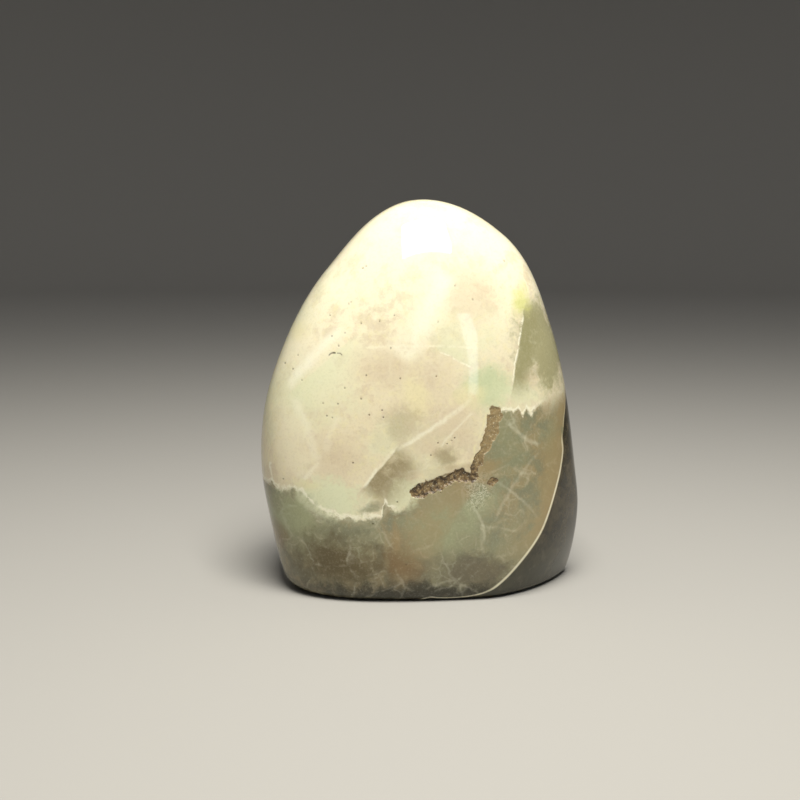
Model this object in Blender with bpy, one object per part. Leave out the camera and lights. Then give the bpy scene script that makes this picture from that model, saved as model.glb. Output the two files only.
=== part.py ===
"""Polished free-form of pale green and cream garnierite that stands on its own ground base.

The stone is one solid. It is an egg-shaped pebble, swelled to the front and the back, with three cuts: a flat ground
base, a second domed face ground along its lower right side, which meets the front in a crisp edge, and a shallow
brown fissure with two branches.

Frame: metres, +Z up, the front with the fissure faces -Y. The origin is the centre of the foot of the stone's box.
"""
import math

import bmesh
import bpy
from mathutils import Matrix, Vector

MM = 0.001

# The reach of a face is its distance from the heart of the stone, in millimetres.
HEART_HEIGHT = 22.0
HEART_OFFSET = Vector((-1.86, -3.6, 0.0))
TURN = math.radians(5.4)
LEAN = 0.06

# The pebble: its outline seen from the front, every 22.5 degrees from +X towards the top, and its depth
OUTLINE_REACH = (30.6, 31.4, 36.4, 45.1, 48.0, 39.0, 32.3, 28.9, 27.4, 27.8, 31.6, 37.1, 40.8, 43.3, 41.2, 34.2)
FRONT_REACH = 15.8
BACK_REACH = 23.0
SECTION_POWER = 2.46

# The side face: part of a large ellipsoid, seen from the heart
SIDE_CENTRE = Vector((5.4, 24.0))
SIDE_SEMI_AXES = Vector((33.4, 43.3))
SIDE_HEIGHT_ABOVE = 62.0
SIDE_HEIGHT_BELOW = 47.8
SIDE_FACING = Vector((0.816, -0.071, -0.574))
SIDE_SPREAD = 0.6
SIDE_RELEASE = 300.0

# How widely two faces are rounded into each other where they meet
CRISP_ROUNDING = 0.2
BACK_ROUNDING = 8.0
ROUNDED_FROM = -0.1
ROUNDED_OVER = 0.5
BASE_ROUNDING = 3.8
SIDE_BASE_ROUNDING = 1.8

# The fissure, on the front face: points (x, z, half width) down the middle of each branch, and its depth
UPPER_BRANCH = (
    (12.9, 33.5, 1.05), (12.7, 32.0, 1.25), (12.3, 30.2, 1.3), (11.6, 28.7, 1.2),
    (10.9, 26.9, 1.05), (10.0, 25.2, 0.95), (9.2, 23.8, 0.85), (8.9, 22.9, 0.8),
)
LEFT_BRANCH = (
    (8.9, 22.2, 0.9), (6.8, 22.6, 1.05), (5.0, 22.0, 1.05), (3.7, 21.5, 1.3),
    (2.4, 20.9, 1.4), (1.2, 20.6, 1.15), (0.0, 19.9, 1.2), (-1.2, 19.6, 1.0),
)
ROUND_PIT = ((12.3, 21.5, 0.8), (12.4, 21.5, 0.8))
UPPER_DEPTH = 0.6
LEFT_DEPTH = 1.0
ROUND_PIT_DEPTH = 0.4

# The mesh
SPHERE_SUBDIVISIONS = 5
NEAR_CREASE = 0.25
ON_CREASE = 0.02
FISSURE_REFINEMENTS = 2
FISSURE_MARGIN = 0.5
RIM_WIDTH = 4.0
SHARP_ANGLE = math.radians(32.0)


def clear_objects():
    """Remove whatever the scene holds at the start."""
    for old in list(bpy.data.objects):
        bpy.data.objects.remove(old, do_unlink=True)


def soft_min(a, b, rounding):
    """Return the smaller of two reaches, rounded where they are close."""
    overlap = max(rounding - abs(a - b), 0.0)
    return min(a, b) - overlap * overlap / (4.0 * rounding)


def ease(value, low, high):
    """Return 0 below low, 1 above high, and a smooth ramp between them."""
    t = min(max((value - low) / (high - low), 0.0), 1.0)
    return t * t * (3.0 - 2.0 * t)


def outline_reach(angle):
    """Return the reach of the front outline at an angle, on a smooth closed curve through its points."""
    count = len(OUTLINE_REACH)
    place = (angle / math.tau * count) % count
    index = int(place)
    t = place - index
    a, b, c, d = (OUTLINE_REACH[(index + step) % count] for step in (-1, 0, 1, 2))
    return b + 0.5 * t * (c - a + t * (2 * a - 5 * b + 4 * c - d + t * (3 * (b - c) + d - a)))


def pebble_reach(direction):
    """Return the reach of the egg-shaped pebble in a direction."""
    across = math.hypot(direction.x, direction.z)
    outline = outline_reach(math.atan2(direction.z, direction.x))
    depth = FRONT_REACH if direction.y < 0.0 else BACK_REACH
    share = (across / outline) ** SECTION_POWER + (abs(direction.y) / depth) ** SECTION_POWER
    return share ** (-1.0 / SECTION_POWER)


def side_reach(direction):
    """Return the reach of the side face, which is let out of the stone away from the lower right."""
    height = SIDE_HEIGHT_ABOVE if direction.z > 0.0 else SIDE_HEIGHT_BELOW
    scaled = Vector((direction.x / SIDE_SEMI_AXES.x, direction.y / SIDE_SEMI_AXES.y, direction.z / height))
    start = Vector((-SIDE_CENTRE.x / SIDE_SEMI_AXES.x, -SIDE_CENTRE.y / SIDE_SEMI_AXES.y, 0.0))
    square = scaled.dot(scaled)
    half = start.dot(scaled)
    rest = start.dot(start) - 1.0
    reach = (-half + math.sqrt(half * half - square * rest)) / square
    aside = max(0.0, SIDE_SPREAD - direction.dot(SIDE_FACING))
    return reach + SIDE_RELEASE * aside * aside


def base_reach(direction):
    """Return the reach of the flat base."""
    return HEART_HEIGHT / max(-direction.z, 0.001)


def stone_reach(direction):
    """Return the reach of the finished stone, without its fissure."""
    pebble = pebble_reach(direction)
    side = side_reach(direction)
    edge = CRISP_ROUNDING + BACK_ROUNDING * min(max((direction.y - ROUNDED_FROM) / ROUNDED_OVER, 0.0), 1.0)
    foot = BASE_ROUNDING + (SIDE_BASE_ROUNDING - BASE_ROUNDING) * ease(pebble - side, -0.5, 1.5)
    return soft_min(soft_min(pebble, side, edge), base_reach(direction), foot)


def placed(direction, reach):
    """Return the point at a reach, turned and leaned as the stone stands, in millimetres."""
    point = Matrix.Rotation(TURN, 3, "Z") @ (direction * reach)
    point.y += LEAN * point.z
    return point + HEART_OFFSET + Vector((0.0, 0.0, HEART_HEIGHT))


def branch_depth(x, z, branch, depth, margin=0.0):
    """Return how deep one branch of the fissure is at a place on the front."""
    deepest = 0.0
    for (x0, z0, w0), (x1, z1, w1) in zip(branch, branch[1:]):
        along = Vector((x1 - x0, z1 - z0))
        t = min(max(Vector((x - x0, z - z0)).dot(along) / along.length_squared, 0.0), 1.0)
        away = math.hypot(x - x0 - t * along.x, z - z0 - t * along.y)
        half_width = w0 + t * (w1 - w0) + margin
        if away < half_width:
            deepest = max(deepest, depth * (1.0 - (away / half_width) ** 2))
    return deepest


def fissure_depth(point, margin=0.0):
    """Return the depth of the fissure at a point of the surface, which is 0 off it and all round the back."""
    if point.y > 0.0:
        return 0.0
    return max(
        branch_depth(point.x, point.z, UPPER_BRANCH, UPPER_DEPTH, margin),
        branch_depth(point.x, point.z, LEFT_BRANCH, LEFT_DEPTH, margin),
        branch_depth(point.x, point.z, ROUND_PIT, ROUND_PIT_DEPTH, margin),
    )


def beyond_crease(direction):
    """Return a value that is above 0 on the side face and below 0 on the pebble."""
    return pebble_reach(direction) - side_reach(direction)


def crossing(start, end):
    """Return the share of the way from start to end at which the crease is crossed."""
    low, high = 0.0, 1.0
    sign = beyond_crease(start) > 0.0
    for _ in range(24):
        middle = 0.5 * (low + high)
        if (beyond_crease(start.lerp(end, middle).normalized()) > 0.0) == sign:
            low = middle
        else:
            high = middle
    return 0.5 * (low + high)


def lay_crease(bm):
    """Give the sphere of directions an edge loop along the crisp edge, so that the edge is one clean line."""
    crossed = [e for e in bm.edges if (beyond_crease(e.verts[0].co) > 0.0) != (beyond_crease(e.verts[1].co) > 0.0)]
    for edge in crossed:
        first, second = edge.verts
        share = crossing(first.co, second.co)
        if share < NEAR_CREASE:
            first.co = first.co.lerp(second.co, share).normalized()
        elif share > 1.0 - NEAR_CREASE:
            second.co = first.co.lerp(second.co, share).normalized()
    for edge in crossed:
        first, second = edge.verts
        values = beyond_crease(first.co), beyond_crease(second.co)
        if min(abs(values[0]), abs(values[1])) < ON_CREASE or (values[0] > 0.0) == (values[1] > 0.0):
            continue
        share = crossing(first.co, second.co)
        point = first.co.lerp(second.co, share).normalized()
        _, vertex = bmesh.utils.edge_split(edge, first, share)
        vertex.co = point
    bmesh.ops.triangulate(bm, faces=[f for f in bm.faces if len(f.verts) > 3])
    bm.normal_update()


def divide(bm, edges):
    """Halve some edges of the sphere of directions and keep it round and triangulated."""
    bmesh.ops.subdivide_edges(bm, edges=edges, cuts=1, use_grid_fill=True)
    bmesh.ops.triangulate(bm, faces=[f for f in bm.faces if len(f.verts) > 3])
    for vertex in bm.verts:
        vertex.co.normalize()


def middle_direction(edge):
    """Return the direction of the middle of an edge."""
    return (edge.verts[0].co + edge.verts[1].co).normalized()


def on_rim(direction):
    """Return whether a direction points at the rounded rim of the base."""
    return abs(min(pebble_reach(direction), side_reach(direction)) - base_reach(direction)) < RIM_WIDTH


def on_fissure(direction):
    """Return whether a direction points at the fissure or just beside it."""
    return fissure_depth(placed(direction, stone_reach(direction)), margin=FISSURE_MARGIN) > 0.0


def refine(bm):
    """Divide the triangles on the rim of the base and on the fissure, so that both are drawn finely enough."""
    divide(bm, [edge for edge in bm.edges if on_rim(middle_direction(edge))])
    for _ in range(FISSURE_REFINEMENTS):
        divide(bm, [edge for edge in bm.edges if on_fissure(middle_direction(edge))])


def build_stone():
    """Return the stone as one closed mesh object."""
    bm = bmesh.new()
    bmesh.ops.create_icosphere(bm, subdivisions=SPHERE_SUBDIVISIONS, radius=1.0)
    lay_crease(bm)
    refine(bm)
    for vertex in bm.verts:
        direction = vertex.co.normalized()
        reach = stone_reach(direction)
        depth = fissure_depth(placed(direction, reach))
        vertex.co = placed(direction, reach - depth) * MM
    bmesh.ops.recalc_face_normals(bm, faces=bm.faces)
    mesh = bpy.data.meshes.new("stone")
    bm.to_mesh(mesh)
    bm.free()
    mesh.shade_smooth()
    mesh.set_sharp_from_angle(angle=SHARP_ANGLE)
    stone = bpy.data.objects.new("stone", mesh)
    bpy.context.scene.collection.objects.link(stone)
    return stone


def polished_garnierite():
    """Return the material of the polished stone."""
    material = bpy.data.materials.new("polished_garnierite")
    material.use_nodes = True
    shader = material.node_tree.nodes["Principled BSDF"]
    shader.inputs["Base Color"].default_value = (0.62, 0.59, 0.46, 1.0)
    shader.inputs["Roughness"].default_value = 0.15
    shader.inputs["Metallic"].default_value = 0.0
    return material


clear_objects()
build_stone().data.materials.append(polished_garnierite())
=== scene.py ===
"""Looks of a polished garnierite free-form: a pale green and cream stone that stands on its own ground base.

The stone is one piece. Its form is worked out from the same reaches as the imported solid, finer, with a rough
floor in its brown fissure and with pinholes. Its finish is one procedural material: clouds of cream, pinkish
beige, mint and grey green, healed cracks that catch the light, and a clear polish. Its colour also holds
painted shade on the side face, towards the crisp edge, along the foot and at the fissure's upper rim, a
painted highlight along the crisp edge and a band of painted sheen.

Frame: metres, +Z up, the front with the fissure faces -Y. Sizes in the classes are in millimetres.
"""
from __future__ import annotations

import logging
import math
from collections.abc import Callable
from dataclasses import dataclass
from enum import Enum

import bmesh
import bpy
import numpy as np
from mathutils import Matrix, Vector, noise


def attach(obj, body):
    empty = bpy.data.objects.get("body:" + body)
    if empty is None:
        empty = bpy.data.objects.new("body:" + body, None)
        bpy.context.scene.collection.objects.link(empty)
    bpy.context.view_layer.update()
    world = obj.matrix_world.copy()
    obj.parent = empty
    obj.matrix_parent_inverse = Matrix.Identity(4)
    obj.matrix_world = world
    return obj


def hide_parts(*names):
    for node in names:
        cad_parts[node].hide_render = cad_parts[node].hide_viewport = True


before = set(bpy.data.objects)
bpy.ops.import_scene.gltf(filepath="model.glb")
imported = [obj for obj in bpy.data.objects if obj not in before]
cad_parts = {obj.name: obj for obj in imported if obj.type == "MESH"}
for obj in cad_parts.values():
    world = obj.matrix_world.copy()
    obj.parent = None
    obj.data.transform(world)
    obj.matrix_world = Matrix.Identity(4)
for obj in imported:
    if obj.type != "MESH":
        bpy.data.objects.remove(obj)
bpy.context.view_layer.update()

LOG = logging.getLogger("garnierite")
MM = 0.001


def eased(value: np.ndarray, low: float, high: float) -> np.ndarray:
    """Ramp values smoothly from 0 at low to 1 at high.

    Args:
        value: The values to ramp.
        low: Where the ramp starts.
        high: Where the ramp ends.

    Returns:
        The ramped values.
    """
    t = np.clip((value - low) / (high - low), 0.0, 1.0)
    return t * t * (3.0 - 2.0 * t)


def soft_min(a: np.ndarray, b: np.ndarray, rounding: np.ndarray | float) -> np.ndarray:
    """Take the smaller of two reaches, rounded where they are close.

    Args:
        a: The first reaches.
        b: The second reaches.
        rounding: How far apart two reaches still blend.

    Returns:
        The smaller reaches.
    """
    overlap = np.maximum(rounding - np.abs(a - b), 0.0)
    return np.minimum(a, b) - overlap * overlap / (4.0 * rounding)


@dataclass(frozen=True)
class PebbleForm:
    """The ground form of the stone, as reaches in millimetres from its heart."""

    heart_height: float = 22.0
    heart_offset: tuple[float, float] = (-1.86, -3.6)
    turn: float = math.radians(5.4)
    lean: float = 0.06
    outline: tuple[float, ...] = (
        30.6, 31.4, 36.4, 45.1, 48.0, 39.0, 32.3, 28.9, 27.4, 27.8, 31.6, 37.1, 40.8, 43.3, 41.2, 34.2,
    )
    front_reach: float = 15.8
    back_reach: float = 23.0
    section_power: float = 2.46
    side_centre: tuple[float, float] = (5.4, 24.0)
    side_axes: tuple[float, float] = (33.4, 43.3)
    side_above: float = 62.0
    side_below: float = 47.8
    side_facing: tuple[float, float, float] = (0.816, -0.071, -0.574)
    side_spread: float = 0.6
    side_release: float = 300.0
    shoulder_cut: float = 0.33
    shoulder_height: float = 0.32
    shoulder_span: float = 0.2
    foot_swell: float = 0.4
    foot_height: float = 0.45
    foot_span: float = 0.3
    shoulder_rise: tuple[float, ...] = (0.086, 0.206, 0.317, 0.397)
    shoulder_turn: tuple[float, ...] = (-0.362, -0.316, -0.272, -0.208)
    shoulder_blend: tuple[float, float] = (0.12, 0.26)
    turned_past: float = 0.04
    slope_step: float = 0.002
    least_slope: float = 0.03
    crisp_rounding: float = 0.25
    back_rounding: float = 8.0
    rounded_from: float = -0.1
    rounded_over: float = 0.5
    base_rounding: float = 3.8
    side_base_rounding: float = 1.8

    def pebble(self, ways: np.ndarray) -> np.ndarray:
        """Give the reach of the egg-shaped pebble in each direction.

        Args:
            ways: Directions, one a row.

        Returns:
            One reach a direction.
        """
        points = np.array(self.outline)
        count = len(points)
        place = (np.arctan2(ways[:, 2], ways[:, 0]) / math.tau * count) % count
        index = place.astype(int) % count
        t = place - np.floor(place)
        a, b, c, d = (points[(index + step) % count] for step in (-1, 0, 1, 2))
        outline = b + 0.5 * t * (c - a + t * (2 * a - 5 * b + 4 * c - d + t * (3 * (b - c) + d - a)))
        across = np.hypot(ways[:, 0], ways[:, 2])
        depth = np.where(ways[:, 1] < 0.0, self.front_reach, self.back_reach)
        power = self.section_power
        return ((across / outline) ** power + (np.abs(ways[:, 1]) / depth) ** power) ** (-1.0 / power)

    def side(self, ways: np.ndarray) -> np.ndarray:
        """Give the reach of the domed side face, let out of the stone away from the lower right.

        Args:
            ways: Directions, one a row.

        Returns:
            One reach a direction.
        """
        height = np.where(ways[:, 2] > 0.0, self.side_above, self.side_below)
        wide, deep = self.side_axes
        scaled = np.stack([ways[:, 0] / wide, ways[:, 1] / deep, ways[:, 2] / height], 1)
        start = np.array([-self.side_centre[0] / wide, -self.side_centre[1] / deep, 0.0])
        square = (scaled * scaled).sum(1)
        half = scaled @ start
        rest = start @ start - 1.0
        reach = (-half + np.sqrt(half * half - square * rest)) / square
        shoulder = np.exp(-(((ways[:, 2] - self.shoulder_height) / self.shoulder_span) ** 2))
        foot = np.exp(-(((ways[:, 2] + self.foot_height) / self.foot_span) ** 2))
        reach = reach - self.shoulder_cut * shoulder + self.foot_swell * foot
        aside = np.maximum(0.0, self.side_spread - ways @ np.array(self.side_facing))
        return reach + self.side_release * aside * aside

    def base(self, ways: np.ndarray) -> np.ndarray:
        """Give the reach of the flat base, one a direction."""
        return self.heart_height / np.maximum(-ways[:, 2], 0.001)

    def past_edge(self, ways: np.ndarray) -> np.ndarray:
        """Give how much further the pebble reaches than the side face: above 0 on the side face."""
        return self.pebble(ways) - self.side(ways)

    def beyond_edge(self, ways: np.ndarray) -> np.ndarray:
        """Measure along the surface how far each direction is past the crisp edge.

        Args:
            ways: Directions, one a row.

        Returns:
            Millimetres past the edge, above 0 on the side face.
        """
        past = self.past_edge(ways)
        reach = self.reach(ways)
        first = np.cross(ways, np.array([0.3, 0.2, 0.93]))
        first /= np.linalg.norm(first, axis=1, keepdims=True)
        second = np.cross(ways, first)
        slopes = []
        for tangent in (first, second):
            moved = ways + tangent * self.slope_step
            moved /= np.linalg.norm(moved, axis=1, keepdims=True)
            slopes.append((self.past_edge(moved) - past) / (self.slope_step * reach))
        beyond = past / np.maximum(np.hypot(*slopes), self.least_slope)
        edge_turn = np.interp(ways[:, 2], self.shoulder_rise, self.shoulder_turn)
        turned = np.arctan2(ways[:, 1], ways[:, 0]) - edge_turn
        right = ways[:, 0] > 0.0
        shoulder = eased(ways[:, 2], *self.shoulder_blend) * right
        beyond = beyond + (turned * reach - beyond) * shoulder
        behind = (turned > self.turned_past) & right
        return np.where(behind, np.maximum(beyond, turned * reach), beyond)

    def reach(self, ways: np.ndarray) -> np.ndarray:
        """Give the reach of the finished form, with its edges rounded as they are worn.

        Args:
            ways: Directions, one a row.

        Returns:
            One reach a direction.
        """
        pebble = self.pebble(ways)
        side = self.side(ways)
        behind = np.clip((ways[:, 1] - self.rounded_from) / self.rounded_over, 0.0, 1.0)
        edge = self.crisp_rounding + self.back_rounding * behind
        share = eased(pebble - side, -0.5, 1.5)
        foot = self.base_rounding + (self.side_base_rounding - self.base_rounding) * share
        return soft_min(soft_min(pebble, side, edge), self.base(ways), foot)

    def place(self, ways: np.ndarray, reach: np.ndarray) -> np.ndarray:
        """Put reaches where the stone stands.

        Args:
            ways: Directions, one a row.
            reach: One reach a direction.

        Returns:
            The points, in millimetres.
        """
        turned = np.array(Matrix.Rotation(self.turn, 3, "Z"))
        points = (ways * reach[:, None]) @ turned.T
        points[:, 1] += self.lean * points[:, 2]
        return points + np.array([self.heart_offset[0], self.heart_offset[1], self.heart_height])


@dataclass(frozen=True)
class Branch:
    """One branch of the fissure: points (x, z, half width) down its middle, and its depth, in millimetres."""

    points: tuple[tuple[float, float, float], ...]
    depth: float

    def share(self, x: np.ndarray, z: np.ndarray, margin: float | np.ndarray = 0.0) -> np.ndarray:
        """Give how far inside the branch each place is.

        Args:
            x: Places across the front.
            z: Places up the front.
            margin: How much wider than the branch to reach.

        Returns:
            1 down the middle, 0 on the rim and beyond it.
        """
        best = np.zeros_like(x)
        for (x0, z0, w0), (x1, z1, w1) in zip(self.points, self.points[1:]):
            dx, dz = x1 - x0, z1 - z0
            t = np.clip(((x - x0) * dx + (z - z0) * dz) / (dx * dx + dz * dz), 0.0, 1.0)
            away = np.hypot(x - x0 - t * dx, z - z0 - t * dz)
            half_width = np.maximum(w0 + t * (w1 - w0) + margin, 0.01)
            best = np.maximum(best, 1.0 - away / half_width)
        return best


@dataclass(frozen=True)
class Fissure:
    """The brown fissure on the front: two branches and a round pit beside their meeting."""

    upper: Branch = Branch(
        points=(
            (12.9, 33.5, 1.05), (12.7, 32.0, 1.25), (12.3, 30.2, 1.3), (11.6, 28.7, 1.2),
            (10.9, 26.9, 1.05), (10.0, 25.2, 0.95), (9.2, 23.8, 0.85), (8.9, 22.9, 0.8),
        ),
        depth=0.17,
    )
    left: Branch = Branch(
        points=(
            (8.9, 22.2, 0.9), (6.8, 22.6, 1.05), (5.0, 22.0, 1.05), (3.7, 21.5, 1.3),
            (2.4, 20.9, 1.4), (1.2, 20.6, 1.15), (0.0, 19.9, 1.2), (-1.2, 19.6, 1.0),
        ),
        depth=0.32,
    )
    pit: Branch = Branch(points=((12.3, 21.5, 0.8), (12.4, 21.5, 0.8)), depth=0.15)
    ragged: float = 0.6
    grain: float = 0.07
    wall_share: float = 0.42
    rim_share: float = 0.2
    least_depth: float = 0.05

    def branches(self) -> tuple[Branch, ...]:
        """Give the branches and the pit."""
        return (self.upper, self.left, self.pit)

    def near(self, points: np.ndarray, margin: float) -> np.ndarray:
        """Tell which points lie within a margin of the fissure.

        Args:
            points: Points of the surface.
            margin: How far from the rim still counts.

        Returns:
            One truth value a point.
        """
        inside = np.zeros(len(points), bool)
        for branch in self.branches():
            inside |= branch.share(points[:, 0], points[:, 2], margin) > 0.0
        return inside & (points[:, 1] < 0.0)

    def carve(self, points: np.ndarray) -> tuple[np.ndarray, np.ndarray]:
        """Work out how deep the fissure is at each point, with ragged rims and a grainy floor.

        Args:
            points: Points of the surface, in millimetres.

        Returns:
            The depth at each point, and how far inside the fissure it is, from 0 to 1.
        """
        depth = np.zeros(len(points))
        inside = np.zeros(len(points))
        near = np.nonzero(self.near(points, 1.0))[0]
        for index in near:
            x, y, z = points[index]
            rag = noise.fractal(Vector((x * 0.9, y * 0.9, z * 0.9)), 1.0, 2.2, 4) * self.ragged
            floor = noise.fractal(Vector((x * 2.2, y * 2.2, z * 2.2 + 40.0)), 0.8, 2.1, 4) * self.grain
            for branch in self.branches():
                share = float(branch.share(np.array([x]), np.array([z]), rag)[0])
                if share > 0.0:
                    wall = min(share / self.wall_share, 1.0)
                    wall = wall * wall * (3.0 - 2.0 * wall)
                    depth[index] = max(depth[index], wall * max(branch.depth + floor, self.least_depth))
                    inside[index] = max(inside[index], min(share / self.rim_share, 1.0))
        return depth, inside


@dataclass(frozen=True)
class Pinholes:
    """Small open pits in the polish, as places (x, z) on the front, in millimetres."""

    places: tuple[tuple[float, float], ...] = (
        (-16.3, 32.9), (-15.4, 32.6), (-17.0, 35.0), (-10.2, 58.0), (-9.6, 58.4), (-13.2, 47.0),
        (-15.5, 46.4),
        (-15.9, 49.9), (-12.6, 51.9), (-12.2, 52.2), (-10.4, 48.7), (-7.2, 49.1), (-4.7, 50.1), (2.8, 48.9),
        (5.8, 55.1), (8.9, 52.7), (-21.6, 42.9), (-24.1, 41.3), (-22.5, 40.5), (-20.8, 38.7), (-9.5, 39.9),
        (-5.3, 44.5), (2.5, 39.7), (-3.7, 39.4), (-13.2, 37.7), (-10.4, 35.9), (-14.4, 35.0), (-9.0, 33.2),
        (-6.8, 34.0), (-6.6, 32.8), (12.0, 40.9), (14.7, 59.2), (15.8, 54.7), (-11.8, 25.0), (1.6, 26.2),
        (2.8, 28.3), (4.4, 28.1), (5.2, 28.6), (5.7, 29.1), (-4.2, 18.2), (9.6, 16.8), (-24.2, 21.4),
        (-8.4, 14.4), (-2.7, 7.0), (-10.0, 3.0), (0.1, 3.0), (-14.3, 44.8),
    )
    radius: float = 0.15
    depth: float = 0.09

    def distance(self, points: np.ndarray) -> np.ndarray:
        """Give the distance from each point to the nearest pinhole, large on the back."""
        nearest = np.full(len(points), 99.0)
        for x, z in self.places:
            nearest = np.minimum(nearest, np.hypot(points[:, 0] - x, points[:, 2] - z))
        return np.where(points[:, 1] < -3.0, nearest, 99.0)

    def carve(self, points: np.ndarray) -> np.ndarray:
        """Give how far inside a pinhole each point is, from 0 to 1."""
        return 1.0 - eased(self.distance(points), 0.35 * self.radius, 1.35 * self.radius)


@dataclass(frozen=True)
class Camera:
    """The camera at the photograph's viewing angle, in millimetres and degrees."""

    place: tuple[float, float, float] = (-3.72, -206.6, 62.17)
    pitch: float = 8.0
    lens: float = 50.0
    sensor: float = 36.0

    def build(self) -> bpy.types.Object:
        """Make the camera and set it as the scene's."""
        data = bpy.data.cameras.new("camera")
        data.lens = self.lens
        data.sensor_width = self.sensor
        data.clip_start = 0.01
        data.clip_end = 20.0
        camera = bpy.data.objects.new("camera", data)
        camera.location = Vector(self.place) * MM
        camera.rotation_euler = (math.radians(90.0 - self.pitch), 0.0, 0.0)
        bpy.context.scene.collection.objects.link(camera)
        bpy.context.scene.camera = camera
        return camera


@dataclass(frozen=True)
class SoftBox:
    """A rectangular studio light, aimed at the stone."""

    name: str
    azimuth: float
    elevation: float
    distance: float
    width: float
    height: float
    power: float
    colour: tuple[float, float, float] = (1.0, 1.0, 1.0)
    aim: tuple[float, float, float] = (0.0, 0.0, 0.035)

    def build(self) -> bpy.types.Object:
        """Make the light. Azimuth 0 is in front of the stone and grows towards +X; angles in degrees."""
        azimuth, elevation = math.radians(self.azimuth), math.radians(self.elevation)
        flat = math.cos(elevation)
        way = Vector((math.sin(azimuth) * flat, -math.cos(azimuth) * flat, math.sin(elevation)))
        data = bpy.data.lights.new(self.name, "AREA")
        data.shape = "RECTANGLE"
        data.size = self.width
        data.size_y = self.height
        data.energy = self.power
        data.color = self.colour
        light = bpy.data.objects.new(self.name, data)
        light.location = Vector(self.aim) + way * self.distance
        light.rotation_euler = (-way).to_track_quat("-Z", "Y").to_euler()
        bpy.context.scene.collection.objects.link(light)
        return light


@dataclass(frozen=True)
class Shade:
    """A socket's value in an expression: each operator adds the Math node for it."""

    board: "NodeBoard"
    socket: bpy.types.NodeSocket

    def __add__(self, other: "Shade | float") -> "Shade":
        """Add a value or a number."""
        return self.board.math("ADD", self, other)

    __radd__ = __add__

    def __sub__(self, other: "Shade | float") -> "Shade":
        """Take a value or a number away."""
        return self.board.math("SUBTRACT", self, other)

    def __rsub__(self, other: float) -> "Shade":
        """Take this value away from a number."""
        return self.board.math("SUBTRACT", other, self)

    def __mul__(self, other: "Shade | float") -> "Shade":
        """Multiply by a value or a number."""
        return self.board.math("MULTIPLY", self, other)

    __rmul__ = __mul__

    def absolute(self) -> "Shade":
        """Drop the sign."""
        return self.board.math("ABSOLUTE", self)

    def root(self) -> "Shade":
        """Take the square root."""
        return self.board.math("SQRT", self)

    def ramp(self, low: float, high: float) -> "Shade":
        """Ramp smoothly from 0 at low to 1 at high; low may be the larger."""
        node = self.board.node(
            "ShaderNodeMapRange", {"interpolation_type": "SMOOTHSTEP"},
            {"Value": self, "From Min": low, "From Max": high},
        )
        return Shade(self.board, node.outputs["Result"])


class NodeBoard:
    """Adds nodes to the tree of one material."""

    def __init__(self, material: bpy.types.Material) -> None:
        """Take the material whose tree is built."""
        self.tree = material.node_tree

    def node(self, kind: str, settings: dict | None = None, inputs: dict | None = None) -> bpy.types.Node:
        """Add a node.

        Args:
            kind: The node's type.
            settings: Its settings, set first.
            inputs: Values or links by socket name or number.

        Returns:
            The node.
        """
        node = self.tree.nodes.new(kind)
        for name, value in (settings or {}).items():
            setattr(node, name, value)
        for name, value in (inputs or {}).items():
            socket = node.inputs[name]
            if isinstance(value, Shade):
                value = value.socket
            if isinstance(value, bpy.types.NodeSocket):
                self.tree.links.new(value, socket)
            else:
                socket.default_value = value
        return node

    def math(self, operation: str, *terms: Shade | float) -> Shade:
        """Add a Math node for an operation on values and numbers."""
        node = self.node("ShaderNodeMath", {"operation": operation}, dict(enumerate(terms)))
        return Shade(self, node.outputs[0])

    def dot(self, vector: bpy.types.NodeSocket, way: tuple[float, float, float]) -> Shade:
        """Measure a vector along a way."""
        node = self.node("ShaderNodeVectorMath", {"operation": "DOT_PRODUCT"}, {0: vector, 1: way})
        return Shade(self, node.outputs["Value"])

    def scaled(self, vector: bpy.types.NodeSocket, by: tuple[float, float, float]) -> bpy.types.NodeSocket:
        """Scale a vector along each axis."""
        node = self.node("ShaderNodeVectorMath", {"operation": "MULTIPLY"}, {0: vector, 1: by})
        return node.outputs["Vector"]

    def clouds(
        self, vector: bpy.types.NodeSocket, scale: float, detail: float = 3.0, rough: float = 0.55,
    ) -> Shade:
        """Give soft noise between about 0.25 and 0.75, with spots about one over the scale across."""
        node = self.node(
            "ShaderNodeTexNoise", {"noise_dimensions": "3D"},
            {"Vector": vector, "Scale": scale, "Detail": detail, "Roughness": rough},
        )
        return Shade(self, node.outputs["Fac"])

    def web(self, vector: bpy.types.NodeSocket, scale: float) -> Shade:
        """Give the distance to the walls of cells about one over the scale across."""
        node = self.node(
            "ShaderNodeTexVoronoi", {"voronoi_dimensions": "3D", "feature": "DISTANCE_TO_EDGE"},
            {"Vector": vector, "Scale": scale},
        )
        return Shade(self, node.outputs["Distance"])

    def mix(
        self, share: Shade | float, first: bpy.types.NodeSocket | tuple[float, float, float],
        second: bpy.types.NodeSocket | tuple[float, float, float], blend: str = "MIX",
    ) -> bpy.types.NodeSocket:
        """Mix two colours.

        Args:
            share: How much of the second.
            first: A colour or a colour socket.
            second: A colour or a colour socket.
            blend: How the second lies on the first.

        Returns:
            The mixed colour's socket.
        """
        first = (*first, 1.0) if isinstance(first, tuple) else first
        second = (*second, 1.0) if isinstance(second, tuple) else second
        node = self.node(
            "ShaderNodeMix", {"data_type": "RGBA", "blend_type": blend, "clamp_factor": True},
            {0: share, 6: first, 7: second},
        )
        return node.outputs[2]


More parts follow.
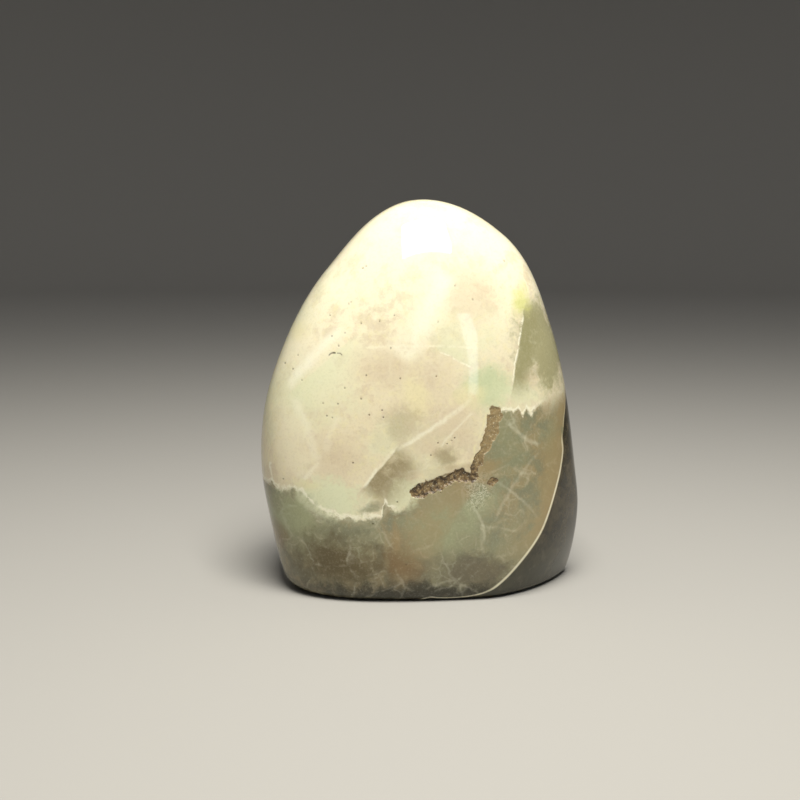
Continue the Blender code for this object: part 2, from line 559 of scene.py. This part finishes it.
@dataclass(frozen=True)
class Patch:
    """A soft cloud of colour on the front: middle (x, z) and half sizes in millimetres, tilt in degrees."""

    middle: tuple[float, float]
    half: tuple[float, float]
    tint: tuple[float, float, float]
    strength: float = 0.8
    tilt: float = 0.0
    soft: float = 0.7

    def mask(self, board: NodeBoard, place: bpy.types.NodeSocket, ragged: Shade) -> Shade:
        """Give the patch's share at a place, with a ragged rim."""
        angle = math.radians(self.tilt)
        c, s = math.cos(angle), math.sin(angle)
        x, z = self.middle
        along = board.dot(place, (c / self.half[0], 0.0, s / self.half[0])) - (c * x + s * z) / self.half[0]
        over = board.dot(place, (-s / self.half[1], 0.0, c / self.half[1])) - (c * z - s * x) / self.half[1]
        away = (along * along + over * over).root() + ragged
        return away.ramp(1.0 + 0.5 * self.soft, 1.0 - self.soft) * self.strength


@dataclass(frozen=True)
class Streak:
    """A line of colour on the front from start to end (x, z), bent to its left by bend, in millimetres."""

    start: tuple[float, float]
    end: tuple[float, float]
    width: float
    tint: tuple[float, float, float]
    strength: float = 0.7
    bend: float = 0.0
    soft: float = 1.0

    def mask(self, board: NodeBoard, place: bpy.types.NodeSocket) -> Shade:
        """Give the streak's share at a place."""
        dx, dz = self.end[0] - self.start[0], self.end[1] - self.start[1]
        length = math.hypot(dx, dz)
        c, s = dx / length, dz / length
        x, z = self.start
        along = board.dot(place, (c / length, 0.0, s / length)) - (c * x + s * z) / length
        across = board.dot(place, (-s, 0.0, c)) - (c * z - s * x)
        if self.bend:
            across = across - along * (1.0 - along) * (4.0 * self.bend)
        half = 0.5 * self.width
        line = across.absolute().ramp(half * (1.0 + 0.6 * self.soft), half * (1.0 - 0.9 * self.soft))
        ends = (along - 0.5).absolute().ramp(0.53, 0.4)
        return line * ends * self.strength


@dataclass(frozen=True)
class Veil:
    """A tone that starts sharply left of a line from start to end (x, z) and fades within a reach."""

    start: tuple[float, float]
    end: tuple[float, float]
    reach: float
    tint: tuple[float, float, float]
    strength: float = 0.7

    def mask(self, board: NodeBoard, place: bpy.types.NodeSocket) -> Shade:
        """Give the veil's share at a place."""
        dx, dz = self.end[0] - self.start[0], self.end[1] - self.start[1]
        length = math.hypot(dx, dz)
        c, s = dx / length, dz / length
        x, z = self.start
        along = board.dot(place, (c / length, 0.0, s / length)) - (c * x + s * z) / length
        across = board.dot(place, (-s, 0.0, c)) - (c * z - s * x)
        ends = (along - 0.5).absolute().ramp(0.75, 0.35)
        return across.ramp(0.0, 0.35) * across.ramp(self.reach, 0.25 * self.reach) * ends * self.strength


class Tint(Enum):
    """The stone's colours, as linear red, green and blue."""

    CREAM = (0.82, 0.77, 0.58)
    BEIGE = (0.72, 0.645, 0.46)
    PINK = (0.62, 0.525, 0.375)
    STRAW = (0.76, 0.70, 0.42)
    WHITE = (0.86, 0.84, 0.68)
    MINT = (0.52, 0.58, 0.36)
    PALE_MINT = (0.68, 0.70, 0.48)
    GREY_GREEN = (0.21, 0.21, 0.135)
    MOSS = (0.335, 0.35, 0.205)
    SAGE = (0.265, 0.27, 0.165)
    OLIVE = (0.30, 0.285, 0.15)
    TAN = (0.30, 0.25, 0.14)
    BROWN = (0.105, 0.078, 0.03)
    ORANGE = (0.22, 0.135, 0.055)
    PEACH = (0.33, 0.245, 0.12)
    MAUVE = (0.12, 0.10, 0.065)
    # Tone of the thin dark lines in the stone, and of the painted shade along the foot.
    DARK_STAIN_AND_SHADE = (0.035, 0.032, 0.018)
    # Tones of the side face: painted shade where it faces away from the light, over its brown and green
    # mottling.
    WALL_SHADE = (0.018, 0.015, 0.008)
    WALL_SHADE_BROWN = (0.05, 0.04, 0.02)
    WALL_SHADE_GREEN = (0.055, 0.055, 0.032)
    YELLOW_GREEN = (0.66, 0.67, 0.26)
    RUST = (0.19, 0.125, 0.055)
    # Dark rust of the fissure and the pinholes, also used for a painted shadow line at the fissure's rim.
    DARK_RUST_AND_SHADE = (0.06, 0.038, 0.018)
    SAND = (0.33, 0.25, 0.12)


@dataclass(frozen=True)
class GarnieriteFinish:
    """The polished, cloudy finish of the stone, with painted shade, a painted highlight and painted sheen in
    its colour, in millimetres.
    """

    zone_line: tuple[tuple[float, float], ...] = (
        (-30.0, 20.4), (-27.0, 20.2), (-25.6, 19.9), (-24.5, 19.5), (-21.7, 19.7), (-20.2, 19.1),
        (-18.8, 17.5),
        (-17.0, 16.3), (-13.9, 15.3), (-10.7, 15.2), (-6.9, 15.3), (-6.3, 18.0), (-5.2, 17.1), (-3.2, 16.9),
        (-2.1, 18.2), (-1.0, 19.0), (2.0, 20.5), (9.0, 23.0), (10.5, 26.5), (12.6, 32.0), (14.0, 33.4),
        (15.6, 33.1), (16.3, 32.5), (16.9, 33.6), (17.7, 32.2), (18.5, 33.7), (19.3, 32.8), (20.3, 33.8),
        (21.5, 34.6), (24.0, 35.4), (30.0, 36.0),
    )
    zone_span: tuple[float, float] = (60.0, 70.0)
    patches: tuple[Patch, ...] = (
        Patch((0.0, 63.0), (26.0, 12.0), Tint.CREAM.value, 0.6),
        Patch((-20.0, 44.0), (7.0, 9.0), Tint.CREAM.value, 0.5, 55.0),
        Patch((-22.0, 47.0), (2.2, 1.6), Tint.STRAW.value, 0.5, 30.0),
        Patch((-17.5, 36.0), (8.0, 6.0), Tint.PALE_MINT.value, 0.45, 20.0),
        Patch((-6.0, 41.0), (6.0, 3.5), Tint.PINK.value, 0.6, -5.0),
        Patch((2.0, 40.0), (4.5, 5.0), Tint.PINK.value, 0.35, -25.0),
        Patch((-1.0, 36.5), (2.5, 5.0), Tint.STRAW.value, 0.55, 10.0),
        Patch((8.5, 53.5), (5.0, 5.5), Tint.PINK.value, 0.55, 30.0),
        Patch((-22.0, 28.0), (4.0, 7.0), Tint.CREAM.value, 0.45, 10.0),
        Patch((-3.3, 31.5), (3.5, 3.5), Tint.TAN.value, 0.4, 20.0),
        Patch((-14.5, 25.5), (4.0, 4.5), Tint.PINK.value, 0.5, 10.0),
        Patch((2.0, 30.0), (8.0, 4.0), Tint.PINK.value, 0.6, 35.0),
        Patch((4.0, 25.6), (2.4, 2.0), Tint.TAN.value, 0.7, 25.0),
        Patch((7.5, 28.5), (2.5, 3.0), Tint.PINK.value, 0.6, 45.0),
        Patch((-15.5, 18.6), (8.5, 3.4), Tint.PALE_MINT.value, 0.95, -3.0, 0.5),
        Patch((-20.0, 20.6), (2.5, 1.2), Tint.STRAW.value, 0.5),
        Patch((-7.6, 19.2), (1.3, 1.6), Tint.STRAW.value, 0.6),
        Patch((-3.9, 19.6), (3.6, 3.0), Tint.PALE_MINT.value, 0.8, 0.0, 0.45),
        Patch((-8.6, 17.0), (2.4, 1.0), Tint.SAGE.value, 0.8, 12.0, 0.5),
        Patch((11.5, 37.6), (4.6, 3.8), Tint.MINT.value, 0.9, 0.0, 0.7),
        Patch((8.2, 36.0), (2.6, 2.0), Tint.STRAW.value, 0.55),
        Patch((17.5, 36.5), (5.0, 2.6), Tint.PALE_MINT.value, 0.65, 5.0),
        Patch((22.0, 44.5), (5.4, 8.6), Tint.OLIVE.value, 0.9, 12.0, 0.5),
        Patch((17.6, 52.4), (1.5, 3.0), Tint.YELLOW_GREEN.value, 0.75, 0.0, 0.8),
        Patch((-22.5, 14.6), (5.2, 4.2), Tint.MOSS.value, 1.0, -20.0, 0.6),
        Patch((-14.0, 7.4), (10.0, 5.0), Tint.BROWN.value, 0.95, -6.0, 0.85),
        Patch((-3.0, 7.6), (3.4, 5.0), Tint.ORANGE.value, 0.75, 0.0, 0.8),
        Patch((-26.0, 10.5), (2.5, 2.5), Tint.ORANGE.value, 0.5),
        Patch((3.0, 13.5), (6.5, 5.0), Tint.MOSS.value, 0.7, 10.0),
        Patch((9.0, 5.5), (8.0, 3.6), Tint.MAUVE.value, 0.75, -5.0),
        Patch((15.5, 26.0), (4.0, 6.0), Tint.SAGE.value, 0.7, -10.0),
        Patch((11.0, 18.0), (4.0, 2.5), Tint.MOSS.value, 0.55, 20.0),
        # A dark strip along the foot: painted shade where the stone meets the floor.
        Patch((0.0, 1.4), (22.0, 2.2), Tint.DARK_STAIN_AND_SHADE.value, 0.9, 0.0, 0.7),
    )
    veils: tuple[Veil, ...] = (
        Veil((18.1, 50.5), (15.8, 37.8), 4.5, Tint.OLIVE.value, 0.95),
        Veil((-4.6, 27.2), (-9.9, 21.0), 8.0, Tint.TAN.value, 1.0),
        Veil((3.0, 44.0), (9.0, 40.6), 3.5, Tint.PALE_MINT.value, 0.5),
        Veil((-12.5, 46.0), (-23.0, 36.5), 5.5, Tint.PALE_MINT.value, 0.55),
    )
    bands_and_sheen: tuple[Streak, ...] = (
        # A broad white band across the upper front: painted sheen of the light in the cleavage planes.
        Streak((4.5, 57.5), (-4.0, 42.5), 4.5, Tint.WHITE.value, 0.85, 0.5),
        Streak((-13.0, 48.0), (-23.5, 37.0), 1.8, Tint.WHITE.value, 0.75, -0.6),
        Streak((-9.9, 20.6), (-4.4, 27.4), 0.6, Tint.WHITE.value, 0.7, 0.3),
        Streak((-4.6, 27.0), (8.4, 35.6), 0.8, Tint.WHITE.value, 0.6, -0.4),
        Streak((3.2, 27.5), (9.0, 33.4), 0.5, Tint.WHITE.value, 0.4, 0.2),
        Streak((-22.5, 36.0), (-18.0, 25.0), 1.6, Tint.WHITE.value, 0.38, 0.5),
        Streak((-17.5, 25.0), (-20.5, 21.5), 0.8, Tint.WHITE.value, 0.5),
        Streak((-14.0, 33.0), (-16.5, 26.5), 1.2, Tint.WHITE.value, 0.25, -0.4),
        Streak((12.8, 21.5), (21.1, 13.8), 0.5, Tint.WHITE.value, 0.17, 0.5),
        Streak((21.0, 26.0), (12.8, 14.5), 0.6, Tint.WHITE.value, 0.13, -0.7),
        Streak((15.0, 31.5), (21.0, 27.0), 0.7, Tint.WHITE.value, 0.2, -0.5),
        Streak((-6.2, 16.0), (-6.0, 6.0), 0.9, Tint.TAN.value, 0.6),
        Streak((-4.4, 16.5), (-4.3, 9.0), 1.4, Tint.PEACH.value, 0.7),
        Streak((8.5, 18.0), (11.0, 10.5), 0.6, Tint.WHITE.value, 0.2, 0.6),
    )
    lines: tuple[Streak, ...] = (
        Streak((18.1, 49.8), (15.9, 38.2), 0.3, Tint.WHITE.value, 0.9, -0.2, 0.8),
        Streak((-10.6, 44.6), (9.2, 44.5), 0.5, Tint.WHITE.value, 0.35, 0.3),
        Streak((3.2, 43.8), (8.6, 40.8), 0.3, Tint.WHITE.value, 0.7, 0.2),
        Streak((-16.2, 43.1), (-14.6, 43.5), 0.3, Tint.DARK_STAIN_AND_SHADE.value, 0.85, 0.2, 0.7),
        Streak((-14.4, 43.5), (-13.5, 43.2), 0.26, Tint.DARK_STAIN_AND_SHADE.value, 0.6, 0.1, 0.7),
        Streak((-26.6, 24.0), (-26.2, 20.6), 0.35, Tint.WHITE.value, 0.7, -0.2),
        Streak((-26.2, 20.6), (-24.8, 19.3), 0.4, Tint.WHITE.value, 0.8, -0.2),
        Streak((11.6, 33.6), (8.6, 24.2), 0.35, Tint.STRAW.value, 0.5, -0.35),
        # A dark line along the upper rim of the fissure's left branch: painted shadow of the rim on the
        # recessed floor.
        Streak((6.9, 23.9), (-1.4, 20.9), 0.4, Tint.DARK_RUST_AND_SHADE.value, 0.8, 0.25),
        Streak((23.8, 9.2), (25.4, 4.3), 0.8, Tint.PEACH.value, 0.3),
    )
    netting: Patch = Patch((9.6, 20.2), (2.6, 3.6), Tint.WHITE.value, 0.75, 10.0)
    coarse_wander: float = 3.2
    fine_wander: float = 1.1
    back_height: float = 27.0
    back_slope: float = 0.23
    back_wander: float = 16.0
    polish: float = 0.03
    haze: float = 0.06
    fissure_roughness: float = 0.45
    refraction: float = 1.53
    glow: float = 0.22
    glow_radius: tuple[float, float, float] = (1.0, 0.8, 0.5)
    glow_scale: float = 0.003

    def place(
        self, board: NodeBoard,
    ) -> tuple[bpy.types.NodeSocket, bpy.types.NodeSocket, bpy.types.NodeSocket]:
        """Give the place on the stone in millimetres: exact, wandering a little and wandering widely."""
        coordinates = board.node("ShaderNodeTexCoord").outputs["Object"]
        exact = board.scaled(coordinates, (1000.0, 1000.0, 1000.0))
        moved = []
        for scale, reach in ((0.45, self.fine_wander), (0.11, self.coarse_wander)):
            wander = board.node(
                "ShaderNodeTexNoise", {"noise_dimensions": "3D"},
                {"Vector": exact, "Scale": scale, "Detail": 3.0, "Roughness": 0.6},
            ).outputs["Color"]
            centred = board.node(
                "ShaderNodeVectorMath", {"operation": "SUBTRACT"}, {0: wander, 1: (0.5, 0.5, 0.5)},
            )
            step = board.scaled(centred.outputs["Vector"], (reach, reach, reach))
            start = moved[0] if moved else exact
            summed = board.node("ShaderNodeVectorMath", {"operation": "ADD"}, {0: start, 1: step})
            moved.append(summed.outputs["Vector"])
        return exact, moved[0], moved[1]

    def zone(self, board: NodeBoard, place: bpy.types.NodeSocket) -> Shade:
        """Give the height of the boundary between the light upper stone and the green lower stone."""
        width, height = self.zone_span
        across = board.dot(place, (1.0 / width, 0.0, 0.0)) + 0.5
        curve = board.node("ShaderNodeFloatCurve", None, {"Value": across})
        points = curve.mapping.curves[0].points
        places = [(x / width + 0.5, z / height) for x, z in self.zone_line]
        for point, spot in zip(points, (places[0], places[-1])):
            point.location = spot
        for spot in places[1:-1]:
            points.new(*spot)
        for point in points:
            point.handle_type = "VECTOR"
        curve.mapping.update()
        return Shade(board, curve.outputs["Value"]) * height

    def colour(self, board: NodeBoard) -> bpy.types.NodeSocket:
        """Build the colour of the stone from its clouds, zones, streaks and stains, with painted shade, a
        painted highlight and painted sheen.
        """
        exact, near, wide = self.place(board)
        height = board.dot(exact, (0.0, 0.0, 1.0))
        front = board.dot(exact, (0.0, 1.0, 0.0)).ramp(2.0, -5.0)
        clouds = board.clouds(exact, 0.07, 5.0, 0.6)
        mottle = board.clouds(wide, 0.28, 6.0, 0.65)
        crumble = board.clouds(near, 0.9, 5.0, 0.65)
        ragged = (mottle - 0.5) * 1.9 + (crumble - 0.5) * 0.8

        upper = board.mix(height.ramp(30.0, 58.0), Tint.BEIGE.value, Tint.CREAM.value)
        upper = board.mix(mottle.ramp(0.47, 0.62) * 0.7, upper, Tint.PINK.value)
        upper = board.mix(clouds.ramp(0.5, 0.64) * 0.5, upper, Tint.PALE_MINT.value)
        upper = board.mix(crumble.ramp(0.5, 0.64) * 0.35, upper, Tint.STRAW.value)
        broad = board.clouds(wide, 0.05, 5.0, 0.6)
        behind = 1.0 - front
        upper = board.mix(broad.ramp(0.5, 0.58) * behind * 0.6, upper, Tint.STRAW.value)
        upper = board.mix(broad.ramp(0.46, 0.36) * behind * 0.7, upper, Tint.TAN.value)
        lower = board.mix(mottle.ramp(0.4, 0.6), Tint.GREY_GREEN.value, Tint.TAN.value)
        lower = board.mix(clouds.ramp(0.46, 0.6) * 0.75, lower, Tint.SAGE.value)
        lower = board.mix(height.ramp(10.0, 0.0) * 0.5, lower, Tint.MAUVE.value)

        front_zone = self.zone(board, near)
        back_zone = board.dot(wide, (self.back_slope, 0.0, 0.0)) + (clouds - 0.5) * self.back_wander
        back_zone = back_zone + self.back_height
        zone = back_zone + (front_zone - back_zone) * front
        rise = zone - height + (mottle - 0.5) * 3.6 + (crumble - 0.5) * 1.6
        across = board.dot(exact, (1.0, 0.0, 0.0))
        hard = 1.0 - (across.ramp(19.5, 22.0) * 0.85)
        hard = hard * front + (0.2 + mottle * 0.9) * behind
        colour = board.mix((rise * hard).ramp(-0.3, 0.6), upper, lower)

        for patch in self.patches:
            colour = board.mix(patch.mask(board, wide, ragged) * front, colour, patch.tint)
        for veil in self.veils:
            colour = board.mix(veil.mask(board, near) * front * mottle.ramp(0.15, 0.5), colour, veil.tint)
        colour = self.cracks(board, colour, near, wide, mottle, crumble)
        apart = 1.0 - (across - 4.5).absolute().ramp(10.0, 7.5) * front
        fringe = (rise + 0.25).absolute().ramp(0.6, 0.05) * crumble.ramp(0.36, 0.52) * apart * hard
        colour = board.mix(fringe * 0.75, colour, Tint.WHITE.value)
        return self.paint_shade_highlight_and_fill(board, colour, exact, mottle)

    def cracks(
        self, board: NodeBoard, colour: bpy.types.NodeSocket, near: bpy.types.NodeSocket,
        wide: bpy.types.NodeSocket, mottle: Shade, crumble: Shade,
    ) -> bpy.types.NodeSocket:
        """Lay the healed cracks, which show as pale broken lines, a broad band of painted sheen, and the fine
        grain over the colour.

        Args:
            board: The material's node board.
            colour: The stone's colour so far.
            near: The place, wandering a little.
            wide: The place, wandering widely.
            mottle: The clouds a few millimetres across.
            crumble: The finer clouds.

        Returns:
            The colour with its cracks.
        """
        front = board.dot(near, (0.0, 1.0, 0.0)).ramp(2.0, -5.0)
        broken = crumble.ramp(0.34, 0.52)
        for band in self.bands_and_sheen:
            colour = board.mix(band.mask(board, near) * mottle.ramp(0.2, 0.6) * front, colour, band.tint)
        veins = board.web(wide, 0.13).ramp(0.05, 0.0) * mottle.ramp(0.42, 0.6)
        colour = board.mix(veins * 0.13, colour, Tint.WHITE.value)
        threads = board.web(near, 0.4).ramp(0.09, 0.0) * mottle.ramp(0.5, 0.62)
        colour = board.mix(threads * 0.1, colour, Tint.WHITE.value)
        gathered = self.netting.mask(board, near, (mottle - 0.5) * 1.5)
        netting = (board.clouds(near, 1.6, 5.0, 0.7) - 0.5).absolute().ramp(0.05, 0.0) * gathered * front
        colour = board.mix(netting * 0.7, colour, self.netting.tint)
        for line in self.lines:
            colour = board.mix(line.mask(board, near) * broken * front, colour, line.tint)
        grain = board.clouds(near, 2.4, 4.0, 0.7)
        colour = board.mix(grain.ramp(0.5, 0.36) * 0.16, colour, (0.62, 0.6, 0.52), "MULTIPLY")
        return board.mix(grain.ramp(0.52, 0.68) * 0.07, colour, Tint.WHITE.value)

    def paint_shade_highlight_and_fill(
        self, board: NodeBoard, colour: bpy.types.NodeSocket, exact: bpy.types.NodeSocket, mottle: Shade,
    ) -> bpy.types.NodeSocket:
        """Lay the side face's painted shade, painted shade towards the crisp edge, a painted highlight along
        the edge, the pinholes and the fissure over the colour.

        Args:
            board: The material's node board.
            colour: The stone's colour so far.
            exact: The place on the stone.
            mottle: The clouds a few millimetres across.

        Returns:
            The finished colour.
        """
        beyond = self.attribute(board, "beyond_edge")
        depth = board.dot(exact, (0.0, 1.0, 0.0))
        height = board.dot(exact, (0.0, 0.0, 1.0))
        behind = depth.ramp(-4.0, 10.0)
        drift = (board.clouds(exact, 0.1, 5.0, 0.65) - 0.5) * 40.0 + 7.0
        below = (height + drift * behind).ramp(36.4, 33.0)
        # A peach band on the front towards the crisp edge: partly the stone's peach tone, partly painted shade
        # where the front turns away from the light.
        rim = beyond.ramp(-5.5, -0.4) * below * height.ramp(3.0, 14.0) * (1.0 - behind)
        rim = rim * mottle.ramp(0.25, 0.5)
        colour = board.mix(rim * 0.75, colour, Tint.PEACH.value)
        # The side face painted near black: painted shade where it faces away from the light, mottled brown,
        # green and mauve.
        tone = board.mix(mottle.ramp(0.4, 0.62), Tint.WALL_SHADE.value, Tint.WALL_SHADE_BROWN.value)
        tone = board.mix(height.ramp(12.0, 3.0) * 0.7, tone, Tint.WALL_SHADE_GREEN.value)
        smoke = board.clouds(exact, 0.35, 5.0, 0.7)
        tone = board.mix(smoke.ramp(0.5, 0.68) * 0.45, tone, Tint.MAUVE.value)
        around = (depth + (mottle - 0.5) * 20.0).ramp(14.0, 1.0)
        colour = board.mix(beyond.ramp(-0.05, 0.3) * around * below * 0.95, colour, tone)
        # A painted highlight: a thin bright cream line along the crisp edge, stronger lower down.
        lit = height.ramp(34.0, 18.0) * 0.6 + 0.3
        glint = (beyond + 0.08).absolute().ramp(0.26, 0.06) * depth.ramp(0.0, -4.0) * below * lit
        colour = board.mix(glint * mottle.ramp(0.3, 0.5), colour, Tint.CREAM.value)
        pits = self.attribute(board, "inside_pinhole") * mottle.ramp(0.3, 0.56)
        colour = board.mix(pits * 0.9, colour, Tint.DARK_RUST_AND_SHADE.value)
        grains = board.clouds(exact, 1.3, 4.0, 0.7)
        rust = board.mix(grains.ramp(0.4, 0.56), Tint.DARK_RUST_AND_SHADE.value, Tint.RUST.value)
        rust = board.mix(grains.ramp(0.55, 0.68), rust, Tint.SAND.value)
        rust = board.mix(height.ramp(23.0, 27.0) * 0.65, rust, Tint.SAND.value)
        specks = board.clouds(exact, 3.2, 3.0, 0.7)
        rust = board.mix(specks.ramp(0.58, 0.68) * 0.5, rust, Tint.CREAM.value)
        inside = self.attribute(board, "inside_fissure") + (specks - 0.5) * 1.3 + (grains - 0.5) * 1.0
        return board.mix(inside.ramp(0.3, 0.65), colour, rust)

    def attribute(self, board: NodeBoard, name: str) -> Shade:
        """Read one of the stone's own attributes."""
        return Shade(board, board.node("ShaderNodeAttribute", {"attribute_name": name}).outputs["Fac"])

    def build(self) -> bpy.types.Material:
        """Build the material."""
        material = bpy.data.materials.new("polished_garnierite")
        material.use_nodes = True
        board = NodeBoard(material)
        shader = material.node_tree.nodes["Principled BSDF"]
        colour = self.colour(board)
        material.node_tree.links.new(colour, shader.inputs["Base Color"])
        coordinates = board.node("ShaderNodeTexCoord").outputs["Object"]
        haze = board.clouds(coordinates, 160.0, 3.0)
        rough = self.attribute(board, "inside_fissure").ramp(0.0, 0.5) * self.fissure_roughness
        rough = rough + haze * self.haze + self.polish
        material.node_tree.links.new(rough.socket, shader.inputs["Roughness"])
        shader.inputs["IOR"].default_value = self.refraction
        shader.inputs["Subsurface Weight"].default_value = self.glow
        shader.inputs["Subsurface Radius"].default_value = self.glow_radius
        shader.inputs["Subsurface Scale"].default_value = self.glow_scale
        return material


@dataclass
class Stone:
    """The polished stone: its form, its fissure and its finish."""

    form: PebbleForm = PebbleForm()
    fissure: Fissure = Fissure()
    pinholes: Pinholes = Pinholes()
    finish: GarnieriteFinish = GarnieriteFinish()
    subdivisions: int = 7
    edge_margins: tuple[float, ...] = (1.5, 0.8, 0.4)
    fissure_margins: tuple[float, ...] = (0.9, 0.7)
    pinhole_margins: tuple[float, ...] = (0.75, 0.5)
    crisp_until: float = 0.05

    def surface(self, directions: np.ndarray) -> np.ndarray:
        """Give the points of the uncarved surface in the given directions."""
        return self.form.place(directions, self.form.reach(directions))

    def near_edge(self, ways: np.ndarray, margin: float) -> np.ndarray:
        """Tell which directions lie within a margin of the crisp edge."""
        return (np.abs(self.form.beyond_edge(ways)) < margin) & (ways[:, 1] < self.crisp_until)

    def refine(self, sphere: bmesh.types.BMesh, chosen: Callable[[np.ndarray], np.ndarray]) -> None:
        """Halve the edges of the sphere of directions whose middles are chosen.

        Args:
            sphere: The sphere of directions.
            chosen: A test that takes directions and gives a truth value for each.
        """
        edges = list(sphere.edges)
        middles = np.array([(e.verts[0].co + e.verts[1].co)[:] for e in edges])
        middles /= np.linalg.norm(middles, axis=1, keepdims=True)
        picked = [edges[i] for i in np.nonzero(chosen(middles))[0]]
        bmesh.ops.subdivide_edges(sphere, edges=picked, cuts=1, use_grid_fill=True)
        bmesh.ops.triangulate(sphere, faces=[f for f in sphere.faces if len(f.verts) > 3])
        for vertex in sphere.verts:
            vertex.co.normalize()

    def build(self) -> bpy.types.Object:
        """Build the stone as one closed mesh.

        Returns:
            The stone.
        """
        sphere = bmesh.new()
        bmesh.ops.create_icosphere(sphere, subdivisions=self.subdivisions, radius=1.0)
        for margin in self.edge_margins:
            self.refine(sphere, lambda ways, m=margin: self.near_edge(ways, m))
        for margin in self.fissure_margins:
            self.refine(sphere, lambda ways, m=margin: self.fissure.near(self.surface(ways), m))
        for margin in self.pinhole_margins:
            self.refine(sphere, lambda ways, m=margin: self.pinholes.distance(self.surface(ways)) < m)
        ways = np.array([v.co[:] for v in sphere.verts])
        reach = self.form.reach(ways)
        uncarved = self.form.place(ways, reach)
        depth, inside = self.fissure.carve(uncarved)
        pinhole = self.pinholes.carve(uncarved)
        depth = np.maximum(depth, pinhole * self.pinholes.depth)
        points = self.form.place(ways, reach - depth) * MM
        for vertex, point in zip(sphere.verts, points):
            vertex.co = point
        bmesh.ops.recalc_face_normals(sphere, faces=sphere.faces)
        mesh = bpy.data.meshes.new("polished_stone")
        sphere.to_mesh(mesh)
        sphere.free()
        mesh.shade_smooth()
        fields = {
            "inside_fissure": inside,
            "inside_pinhole": pinhole,
            "beyond_edge": self.form.beyond_edge(ways),
        }
        for name, values in fields.items():
            attribute = mesh.attributes.new(name, "FLOAT", "POINT")
            attribute.data.foreach_set("value", values.astype(np.float32))
        stone = bpy.data.objects.new("polished_stone", mesh)
        bpy.context.scene.collection.objects.link(stone)
        mesh.materials.append(self.finish.build())
        return stone


@dataclass(frozen=True)
class Studio:
    """A plain pale sweep round the stone, and its soft lights. Sizes in metres."""

    floor_radius: float = 1.3
    sweep_radius: float = 0.6
    wall_height: float = 1.6
    inner_radius: float = 0.3
    sweep_steps: int = 12
    segments: int = 96
    shade: tuple[float, float, float] = (0.38, 0.372, 0.355)
    world_tone: tuple[float, float, float] = (1.0, 0.98, 0.95)
    world_strength: float = 0.3

    def sweep(self) -> bpy.types.Object:
        """Spin the floor, its rounded sweep and the wall in one."""
        bm = bmesh.new()
        profile = [(0.0, 0.0), (self.inner_radius, 0.0), (self.floor_radius, 0.0)]
        for step in range(1, self.sweep_steps + 1):
            angle = math.radians(90.0 * step / self.sweep_steps)
            radius = self.floor_radius + self.sweep_radius * math.sin(angle)
            profile.append((radius, self.sweep_radius * (1.0 - math.cos(angle))))
        profile.append((self.floor_radius + self.sweep_radius, self.wall_height))
        verts = [bm.verts.new((r, 0.0, z)) for r, z in profile]
        edges = [bm.edges.new(pair) for pair in zip(verts, verts[1:])]
        bmesh.ops.spin(
            bm, geom=verts + edges, cent=(0.0, 0.0, 0.0), axis=(0.0, 0.0, 1.0), angle=math.tau,
            steps=self.segments, use_merge=True,
        )
        bmesh.ops.remove_doubles(bm, verts=bm.verts, dist=1e-5)
        bmesh.ops.recalc_face_normals(bm, faces=bm.faces)
        mesh = bpy.data.meshes.new("studio_sweep")
        bm.to_mesh(mesh)
        bm.free()
        mesh.shade_smooth()
        sweep = bpy.data.objects.new("studio_sweep", mesh)
        bpy.context.scene.collection.objects.link(sweep)
        paint = bpy.data.materials.new("studio_paper")
        paint.use_nodes = True
        shader = paint.node_tree.nodes["Principled BSDF"]
        shader.inputs["Base Color"].default_value = (*self.shade, 1.0)
        shader.inputs["Roughness"].default_value = 0.9
        shader.inputs["Specular IOR Level"].default_value = 0.2
        sweep.data.materials.append(paint)
        return sweep

    def world(self) -> None:
        """Give the world an even, dim light."""
        world = bpy.data.worlds.new("studio_world")
        world.use_nodes = True
        backdrop = world.node_tree.nodes["Background"]
        backdrop.inputs["Color"].default_value = (*self.world_tone, 1.0)
        backdrop.inputs["Strength"].default_value = self.world_strength
        bpy.context.scene.world = world

    def lights(self) -> list[bpy.types.Object]:
        """Build the soft key above the front and the narrow strip at the right."""
        boxes = (
            SoftBox(
                "key", azimuth=12.0, elevation=66.0, distance=0.36, width=0.2, height=0.2, power=2.5,
                colour=(1.0, 0.965, 0.88),
            ),
            SoftBox(
                "strip", azimuth=28.5, elevation=14.5, distance=1.0, width=0.085, height=0.33, power=0.28,
                colour=(0.72, 0.87, 1.0),
            ),
        )
        return [box.build() for box in boxes]


def main() -> None:
    """Build the camera, the studio and the stone in order."""
    logging.basicConfig(level=logging.INFO, format="%(name)s: %(message)s")
    bpy.context.scene.view_settings.view_transform = "Standard"
    Camera().build()
    studio = Studio()
    studio.sweep()
    studio.world()
    studio.lights()
    stone = Stone().build()
    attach(stone, "root")
    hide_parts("stone")
    LOG.info("stone: %d triangles", len(stone.data.polygons))


if __name__ == "__main__":
    main()
